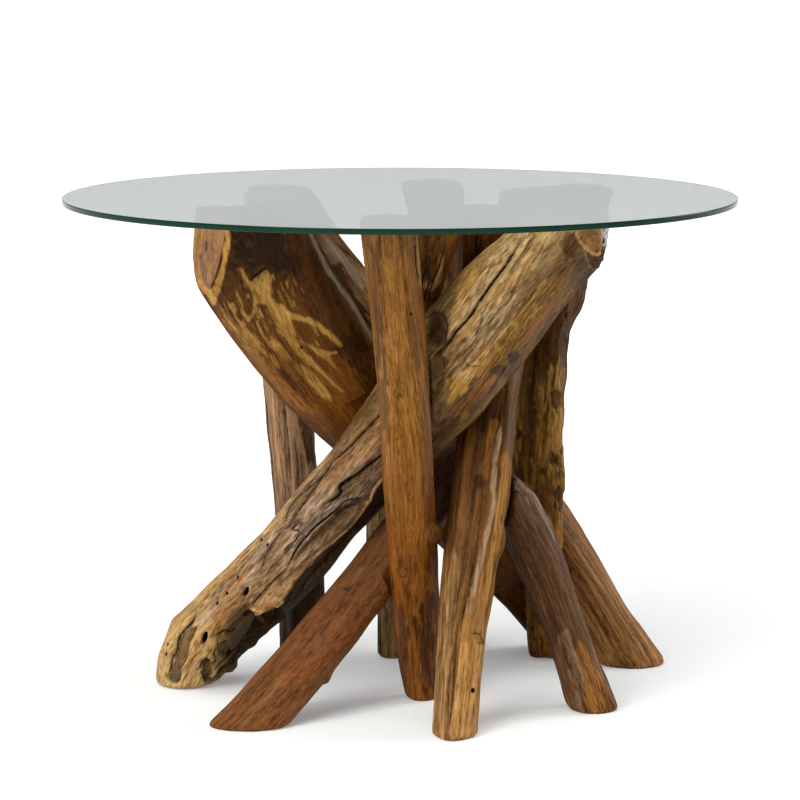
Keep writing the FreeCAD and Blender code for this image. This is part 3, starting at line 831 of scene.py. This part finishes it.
def make_split_root():
    log = Log("split_root", "teak_blazed", 1.1, 37, [
        (0, 72, 42, 16), (180, 88, 52, 18), (270, 114, 70, 23), (330, 102, 62, 22), (390, 70, 42, 15),
        (443, 52, 31, 12),
    ])
    log.weather((80, 1), [(18, 0.6, 200)], [(0.78, 6, 90), (1.2, 8, 110, 0.2, 0.9)], (4, 1.4, 3, 0), 3)
    # The dark upper left, the browner right flank and the golden lower edge
    log.spot((30, 18, 9), (-120, 404), (44, 27), -20, 0.85, 0.7)
    log.paint((66, 39, 15), [(-92, 436), (-62, 360), (-38, 296)], 26, 0.75, 0.6)
    # Painted shade next to the centre post
    log.paint((30, 18, 8), [(-44, 326), (-30, 297), (-16, 272)], 10, 0.6, 1.8)
    log.paint((152, 102, 42), [(-162, 360), (-140, 322), (-118, 292), (-98, 270), (-78, 248)], 7, 0.65, 0.9)
    log.paint((140, 86, 32), [(-120, 300), (-104, 284), (-91, 273), (-75, 252)], 9, 0.65, 0.9)
    log.paint((52, 31, 13), [(-114, 297), (-96, 280), (-87, 271), (-74, 258)], 4.5, 0.75, 1.2)
    # The blaze of sapwood
    log.patch(BLAZE, [
        (-144, 384), (-140, 379), (-134, 373), (-128, 374), (-123, 373), (-119, 377), (-115, 366),
        (-115, 359), (-112, 354), (-104, 349), (-99, 343), (-98, 333), (-93, 321), (-87, 312), (-78, 301),
        (-67, 290), (-57, 279), (-51, 273), (-57, 276), (-68, 285), (-78, 294), (-85, 299), (-96, 312),
        (-107, 322), (-113, 334), (-117, 344), (-121, 351), (-131, 353), (-132, 362), (-138, 373),
    ], 0.85, 1.7, 1.4)
    log.patch(BLAZE, [
        (-109, 349), (-89, 341), (-80, 339), (-64, 328), (-53, 317), (-54, 314), (-68, 326), (-83, 335),
        (-99, 339),
    ], 0.85, 1, 1.2)
    log.patch(BLAZE, [
        (-93, 320), (-81, 315), (-68, 310), (-57, 308), (-62, 306), (-62, 301), (-56, 292), (-65, 301),
        (-74, 306), (-82, 313),
    ], 0.85, 1, 1.2)
    log.patch(BLAZE, [
        (-115, 322), (-104, 312), (-94, 299), (-81, 290), (-68, 276), (-62, 265), (-74, 270), (-87, 285),
        (-100, 301), (-113, 317),
    ], 0.75, 2.6, 2)
    log.patch(BLAZE, [
        (-128, 355), (-129, 346), (-136, 336), (-142, 348), (-135, 342), (-131, 353),
    ], 0.8, 1.5, 1.2)
    log.paint(BLAZE, [(-142, 334), (-131, 319), (-126, 315), (-116, 303), (-107, 291)], 3.2, 0.8, 1)
    log.paint(BLAZE, [(-129, 339), (-123, 324), (-113, 310)], 2.4, 0.75, 1)
    log.paint(BLAZE, [(-152, 355), (-147, 341), (-140, 331)], 2, 0.65, 1)
    log.paint(BLAZE, [(-142, 350), (-141, 341), (-138, 332)], 2.2, 0.75, 1)
    log.paint(BLAZE, [(-130, 371), (-119, 379), (-115, 370)], 4, 0.55, 1.2)
    log.flecks(BLAZE, (-138, 336), (24, 34), 0.7)
    log.flecks(BLAZE, (-104, 360), (18, 20), 0.45)
    log.flecks(BLAZE, (-75, 322), (15, 9), 0.6)
    log.patch((92, 56, 22), [(-86, 314), (-76, 308), (-78, 305), (-83, 308)], 0.8, 0.8, 1)
    log.mottle((0.78, 0.74, 0.68), 2.3, 34, 0.05, 0.75)
    log.mottle(1.15, 2.8, 40, 0.2)
    log.hole((-88, 312), (1.4, 1.4), 1.5)
    log.crack([(-134, 372), (-129, 377), (-119, 385)], 1.5, 2)
    # Painted shade on the log's own right side, then the grey strip along the right edge
    log.paint((24, 15, 8), [(-76, 428), (-61, 388), (-43, 362), (-20, 326)], 4, 0.85, 0.4)
    log.paint((126, 102, 76), [(-86, 430), (-67, 388), (-56, 371), (-43, 351), (-18, 308)], 2.3, 0.85, 0.5)
    # The sawn upright face at the left with its border of sapwood
    sawn = log.facet((-0.94, -0.34, 0))
    log.blend(rgb(150, 104, 66), sawn)
    log.endwise = np.minimum(log.endwise, 1 - sawn)
    log.paint((150, 104, 66), [(-159, 436), (-161, 408), (-166, 388), (-172, 374)], 3.5, 1, 0.2)
    log.paint((168, 116, 60), [(-182, 428), (-179, 393), (-174, 366)], 4, 0.75, 0.6)
    log.paint((182, 130, 66), [(-155, 436), (-155, 410), (-160, 392)], 2.2, 0.7, 0.5)
    log.paint((104, 80, 72), [(-178, 400), (-175, 382), (-173, 373), (-169, 358)], 2.6, 0.85, 0.6)
    log.crack([(-172, 410), (-173, 399)], 1.4, 1, 0.7)
    log.patch((186, 138, 68), [
        (-153, 424), (-152, 405), (-156, 386), (-159, 371), (-166, 351), (-173, 361), (-180, 371),
        (-178, 375), (-172, 367), (-168, 367), (-163, 378), (-159, 392), (-156, 408), (-156, 424),
    ], 0.95, 0.6, 0.9)
    log.finish()


def make_round_leg():
    log = Log("round_leg", "teak_red", 1.2, 41, [
        (0, 122, 76, 40), (90, 114, 70, 38), (160, 104, 68, 40), (240, 74, 46, 25),
    ])
    log.weather((50, 0.9), [(12, 0.4, 120)], [
        (0.78, 8, 40), (1.2, 10, 50, 0.2), ((1.1, 0.98, 0.84), 22, 80, 0.2),
    ], (3, 1, 1.6, 0), 2)
    # Painted shade: faces that turn down are darkened
    shaded_underside = smooth_step(-0.2, -0.7, log.normals[:, 2]) * smooth_step(4, 20, log.points[:, 2])
    log.blend(rgb(58, 34, 17), 0.8 * shaded_underside)
    log.mottle((0.72, 0.66, 0.6), 1.9, 7, 0.05, 0.75)
    log.mottle(1.2, 2.2, 9, 0.2)
    log.crack([(-43, 95), (-48, 92), (-52, 95)], 1.2, 1.2, 0.7)
    log.crack([(-124, 1), (-120, 6), (-117, 14)], 1.2, 1.2, 0.6)
    log.finish()


def make_front_leg():
    log = Log("front_leg", "teak_warm", 1.1, 43, [
        (0, 174, 128, 74), (60, 168, 121, 68), (110, 142, 98, 52), (160, 114, 74, 33), (260, 94, 60, 28),
        (443, 100, 64, 32),
    ])
    log.weather((50, 1), [(9, 1, 170), (3.5, 0.6, 90)], [
        (0.8, 5, 100), (1.2, 7, 130, 0.2),
    ], (4, 1.2, 2, 0), 3)
    log.paint((74, 48, 24), [(49, 225), (47, 165), (42, 118)], 9, 0.65, 1)
    log.paint((58, 36, 16), [(86, 280), (83, 252), (77, 232)], 13, 0.6, 0.8)
    log.paint((156, 98, 38), [(87, 252), (81, 226), (77, 190)], 4, 0.7, 0.8)
    log.paint((168, 118, 54), [(95, 225), (91, 165), (86, 127), (76, 70)], 6, 0.7, 0.8)
    log.paint((188, 148, 98), [(48, 130), (46, 75), (41, 25), (33, -42)], 6, 0.6, 1.3)
    log.paint((192, 142, 76), [(66, 52), (61, 0), (54, -50)], 7, 0.6, 1)
    log.mottle((0.52, 0.46, 0.4), 1.9, 70, 0.05, 0.7)
    log.mottle(1.25, 2.4, 80, 0.15)
    log.valley([(68, 140), (64, 99), (59, 75), (52, 42), (48, 0), (44, -42)], 5, 3)
    log.crack([(68, 134), (64, 99), (59, 75), (55, 56)], 1.3, 1.5, 0.8)
    log.crack([(51, 38), (48, 0), (44, -42)], 1.3, 1.5, 0.8)
    log.valley([(54, 141), (48, 98), (42, 60), (38, 22)], 5, 2)
    log.crack([(61, 150), (58, 119), (53, 88), (50, 57)], 1.1, 1, 0.7)
    for x in (34, 39, 44):
        log.crack([(x + 7, 112), (x + 4, 60), (x + 1, 10), (x - 2, -46)], 1.1, 1.2, 0.45)
    log.rise += 3.0 * smooth_step(1.2, 0.3, log.reach_of((90, 137), (7, 16), 0))
    # A raised ridge with a painted pale highlight along it
    sheen_ridge = [(92, 252), (89, 231), (85, 206), (84, 173), (80, 149), (75, 124), (68, 99), (60, 54)]
    log.valley(sheen_ridge, 4, -2)
    log.paint((172, 142, 108), sheen_ridge, 3, 0.8, 0.7)
    log.crack([(64, 51), (72, 50), (75, 42), (69, 43)], 1.2, 1, 0.7)
    log.hole((67, -2), (1.8, 2.6), 2)
    log.spot((40, 25, 12), (71, 191), (4, 8), 0, 0.8)
    log.finish()


def make_curved_leg():
    log = Log("curved_leg", "teak_grey", 1.2, 47, [(0, 118, 76, 42), (60, 92, 62, 38), (205, 90, 64, 43)])
    log.weather((45, 0.9), [(9, 1, 150), (3.5, 0.35, 90)], [
        (0.78, 6, 90), (1.25, 6, 100, 0.25),
    ], (3, 1.2, 2, 0.3), 2)
    # Painted grey highlight down the right flank
    log.paint((148, 128, 112), [(98, 197), (122, 176), (143, 142), (157, 107), (174, 58)], 5, 0.5, 1.4)
    # Painted shade on the left flank
    log.paint((58, 33, 18), [(105, 132), (118, 95), (128, 60), (138, 28)], 9, 0.65, 1)
    log.paint((160, 106, 50), [(163, 42), (175, 7), (182, -32)], 9, 0.75, 1.2)
    log.mottle((0.6, 0.54, 0.5), 2, 60, 0.05, 0.7)
    log.mottle(1.3, 2.4, 70, 0.2)
    # A low ridge with a painted pale highlight on it
    log.valley([(150, 47), (160, 22), (168, -10)], 4, -1.8)
    log.paint((140, 116, 98), [(147, 56), (158, 24), (163, 0), (160, -24)], 3.5, 0.45, 1.8)
    log.finish()


def make_knotty_post():
    log = Log("knotty_post", "teak_blotched", 1.3, 59, [
        (0, 138, 95, 40), (200, 138, 95, 40), (330, 68, 42, 13), (443, 52, 30, 10),
    ])
    log.lumps(34, 2)
    log.ridges(10, 0.8, 120)
    log.mottle((0.5, 0.46, 0.42), 13, 45, 0.05, 0.5)
    log.mottle((1.4, 1.38, 1.25), 8, 36, 0.25, 0.7)
    # Painted shade on the left flank beside the front leg
    log.paint((44, 28, 12), [(114, 340), (112, 284), (114, 244), (113, 180)], 10, 0.7, 1)
    log.paint((158, 116, 56), [(140, 296), (135, 276), (140, 255), (142, 223), (145, 180)], 9, 0.65, 1.6)
    log.erode([
        (135, 272), (137, 259), (144, 257), (146, 272), (140, 276),
    ], 2.5, (74, 50, 24), ragged=1.2, edge=0.4)
    log.checks(4, 1.3, 2.5, 0.5)
    log.knots(5)
    pits = smooth_step(0.55, 0.9, layered_noise(log.points, (12, 12, 22), log.draw()))
    log.rise -= 2.5 * pits
    log.blend(rgb(42, 26, 11), 0.75 * pits)
    log.mottle((0.66, 0.6, 0.54), 2.4, 18, 0.05, 0.7)
    log.mottle(1.2, 2.8, 22, 0.2)
    log.finish()


def make_rear_log(node, slot, voxel, seed, ground, furrows, marks_and_painted_light=(), splits=()):
    """A log that the photograph shows only in part: furrowed, mottled, checked and knotted all round."""
    log = Log(node, slot, voxel, seed, ground)
    log.weather((50, 1), [(9, furrows, 160)], [(0.7, 6, 110), (1.25, 7, 130, 0.2)], (7, 1.3, 2.5, 0.8), 3)
    # Each mark is the wood's own colour or a painted highlight or shade
    for colour, path, width in marks_and_painted_light:
        log.paint(colour, path, width, 0.8, 0.8)
    log.mottle((0.58, 0.52, 0.46), 2.3, 70, 0.05, 0.7)
    log.mottle(1.25, 2.8, 80, 0.2)
    for path in splits:
        log.crack(path, 1.5, 2.5, 0.6)
    log.finish()


make_centre_post()
make_diagonal_log()
make_split_root()
make_round_leg()
make_front_leg()
make_curved_leg()
make_knotty_post()
make_rear_log(
    "rear_diagonal", "teak_grey", 1.4, 53, [(0, 164, 114, 66), (130, 128, 86, 50), (443, 104, 74, 50)], 1,
    marks_and_painted_light=[
        # A painted sheen, then painted shade in the gap beside the split root
        ((118, 95, 80), [(-70, 411), (-48, 388), (-26, 366)], 6),
        ((20, 12, 6), [(-62, 392), (-44, 359), (-26, 326)], 5.5),
    ],
    splits=[
        [(-56, 408), (-43, 395), (-28, 382)],
    ],
)
make_rear_log(
    "rear_left_post", "teak_grey", 1.5, 61,
    # Painted shade: the lower part, in the shade of the diagonal log, is darkened through these ground
    # colours
    [(0, 52, 34, 19), (70, 56, 37, 21), (200, 156, 120, 90), (443, 158, 122, 92)], 1.9,
    marks_and_painted_light=[
        # Painted shade: a dark band down the lower part
        ((30, 19, 10), [(-91, 165), (-90, 120), (-89, 75), (-87, 20)], 18),
        ((60, 40, 24), [(-88, 266), (-83, 236), (-79, 205)], 7),
    ],
    splits=[
        [(-121, 282), (-120, 260), (-115, 207), (-112, 163)],
        [(-109, 273), (-104, 256), (-101, 233), (-98, 190)],
        [(-90, 251), (-86, 229), (-82, 204)],
        [(-95, 232), (-92, 209), (-91, 180)],
    ],
)
make_rear_log(
    "rear_centre_post", "teak_grey", 1.6, 67, [(0, 104, 74, 46), (300, 98, 66, 38), (443, 88, 56, 27)], 1.1,
)
make_rear_log(
    "pale_strut", "teak_pale", 1.4, 71, [(310, 128, 86, 38), (360, 122, 79, 31), (443, 98, 59, 22)], 1,
    marks_and_painted_light=[
        # A painted highlight on the torn lower end
        ((172, 130, 72), [(20, 368), (33, 372), (36, 400)], 4),
    ],
)
make_rear_log("dark_strut", "teak_red", 1.4, 73, [(310, 92, 54, 20), (443, 90, 52, 19)], 0.7)
make_rear_log("inner_post", "teak_pale", 1.5, 79, [(0, 146, 117, 73), (250, 120, 92, 54)], 0.9)


def make_glass():
    """The round sheet with a ground and polished edge, turned from its profile."""
    low, high = (np.array(corner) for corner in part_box("glass_top"))
    radius = high[0]
    arris = 0.0008
    steps = 6
    turns = 256
    quarter = [math.pi / 2 * k / steps for k in range(steps + 1)]
    rounding = [(arris * math.sin(angle), arris * math.cos(angle)) for angle in quarter]
    profile = [(radius - arris + sine, low[2] + arris - cosine) for sine, cosine in rounding]
    profile += [(radius - arris + cosine, high[2] - arris + sine) for sine, cosine in rounding]
    circle = [2 * math.pi * k / turns for k in range(turns)]
    points = [(r * math.cos(angle), r * math.sin(angle), z) for r, z in profile for angle in circle]
    faces = [tuple(reversed(range(turns)))]
    for ring in range(len(profile) - 1):
        for k in range(turns):
            here = ring * turns + k
            beside = ring * turns + (k + 1) % turns
            faces.append((here, beside, beside + turns, here + turns))
    faces.append(tuple(range(len(points) - turns, len(points))))
    mesh = bpy.data.meshes.new("glass_sheet")
    mesh.from_pydata(points, [], faces)
    mesh.materials.append(make_clear_glass())
    mesh.materials.append(make_glass_edge())
    for face in mesh.polygons:
        on_edge = abs(face.normal.z) < 0.9
        face.material_index = int(on_edge)
        face.use_smooth = len(face.vertices) == 4
    piece = new_object("glass_sheet", mesh)
    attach(piece, "glass")
    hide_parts("glass_top")


def make_clear_glass():
    """Clear glass that lets the lamps' light through to the wood."""
    tree = new_material("clear_glass")
    tree.wire(Base_Color=(0.90, 0.96, 0.94, 1), Transmission_Weight=1.0, IOR=GLASS_IOR, Roughness=0.0,
              Coat_Weight=1.0, Coat_IOR=2.0)
    clear = tree.add("BsdfTransparent", Color=(0.86, 0.93, 0.90, 1))
    both = tree.add("MixShader")
    tree.put(both.inputs[0], tree.add("LightPath").outputs["Is Shadow Ray"])
    tree.put(both.inputs[1], tree.shader.outputs[0])
    tree.put(both.inputs[2], clear.outputs[0])
    tree.surface(both)
    return tree.owner


def make_glass_edge():
    tree = new_material("glass_edge")
    place = tree.add("TexCoord").outputs["Object"]
    shade = tree.noise(tree.stretch(place, 6), 14.0, 2.0)
    colour = tree.ramp(shade, [(0.35, rgb(3, 47, 33)), (0.65, rgb(8, 54, 38))])
    tree.wire(Base_Color=colour, Roughness=0.1, Specular_IOR_Level=0.12, IOR=GLASS_IOR)
    return tree.owner


def make_bumper_material():
    tree = new_material("clear_bumper")
    shade = tree.noise(tree.add("TexCoord").outputs["Object"], 900.0, 2.0)
    tree.wire(Base_Color=(0.80, 0.85, 0.84, 1), Transmission_Weight=0.8,
              Roughness=tree.remap(shade, 0.3, 0.7, 0.12, 0.3))
    return tree.owner


def make_peg_wood():
    """The pegs are of the centre post's wood, with its grain running up them."""
    tree = new_material("peg_wood")
    place = tree.add("TexCoord").outputs["Object"]
    fibre = tree.noise(tree.stretch(place, 0.06), 420.0, 4.0)
    colours = [(0.35, rgb(92, 56, 20)), (0.5, rgb(124, 80, 30)), (0.65, rgb(144, 97, 40))]
    tree.wire(Base_Color=tree.ramp(fibre, colours), Roughness=tree.remap(fibre, 0.3, 0.7, 0.7, 0.5),
              Specular_IOR_Level=0.08, Specular_Tint=WAX_TINT)
    return tree.owner


def dress(node, material):
    """A CAD node that keeps its own shape and gets a finished material."""
    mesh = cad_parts[node].data
    for k in range(len(mesh.materials)):
        mesh.materials[k] = material


make_glass()
dress("bumpers", make_bumper_material())
dress("pegs", make_peg_wood())


def make_floor():
    """A wide matt floor that turns white away from the table, where the camera and the glass see it."""
    mesh = bpy.data.meshes.new("floor")
    half = 30.0
    corners = [(-half, -half, 0), (half, -half, 0), (half, half, 0), (-half, half, 0)]
    mesh.from_pydata(corners, [], [(0, 1, 2, 3)])
    tree = new_material("floor_paint")
    tree.wire(Base_Color=(0.86, 0.86, 0.86, 1), Roughness=0.9, Specular_IOR_Level=0.0)
    path = tree.add("LightPath")
    seen = tree.math("MAXIMUM", path.outputs["Is Camera Ray"], path.outputs["Is Glossy Ray"])
    seen = tree.math("MAXIMUM", seen, path.outputs["Is Transmission Ray"])
    away = tree.add("VectorMath", {"operation": "LENGTH"})
    tree.put(away.inputs[0], tree.add("TexCoord").outputs["Object"])
    lift = tree.remap(away.outputs["Value"], 0.35, 2.4, 0.2, 1.0)
    glow = tree.add("Emission", Strength=tree.math("MULTIPLY", seen, lift))
    both = tree.add("AddShader")
    tree.put(both.inputs[0], tree.shader.outputs[0])
    tree.put(both.inputs[1], glow.outputs[0])
    tree.surface(both)
    mesh.materials.append(tree.owner)
    floor = new_object("floor", mesh)


def make_world():
    """A studio whose walls are pale near the floor and dim above."""
    tree = Tree(bpy.data.worlds.new("studio"))
    place = tree.add("SeparateXYZ", Vector=tree.add("TexCoord").outputs["Generated"])
    climb = tree.remap(place.outputs["Z"], 0.12, 0.28)
    colour = tree.mix(climb, (0.57, 0.60, 0.59), (0.24, 0.24, 0.24))
    tree.put(tree.nodes["Background"].inputs["Color"], colour)
    bpy.context.scene.world = tree.owner


def make_lamp(name, place, aim, size, power):
    lamp = bpy.data.lights.new(name, "AREA")
    lamp.shape = "DISK"
    lamp.size = size
    lamp.energy = power
    holder = new_object(name, lamp)
    holder.location = place
    holder.rotation_euler = (Vector(aim) - Vector(place)).to_track_quat("-Z", "Y").to_euler()
    holder.visible_camera = False


def make_camera():
    camera = bpy.data.cameras.new("camera")
    camera.lens = CAMERA_LENS
    camera.sensor_width = CAMERA_SENSOR
    holder = new_object("camera", camera)
    holder.location = CAMERA_AT
    holder.rotation_euler = (math.radians(CAMERA_TILT_DEG), 0, 0)
    bpy.context.scene.camera = holder


make_floor()
make_world()
make_lamp("left_softbox", (-1.7, -2.3, 1.9), (0, 0, 0.25), 2.0, 62)
make_lamp("top_softbox", (-0.3, -0.4, 2.7), (0, 0, 0.2), 2.4, 38)
make_lamp("right_softbox", (2.3, 0.9, 1.2), (0, 0, 0.2), 1.4, 28)
make_camera()
bpy.context.scene.view_settings.view_transform = "Standard"
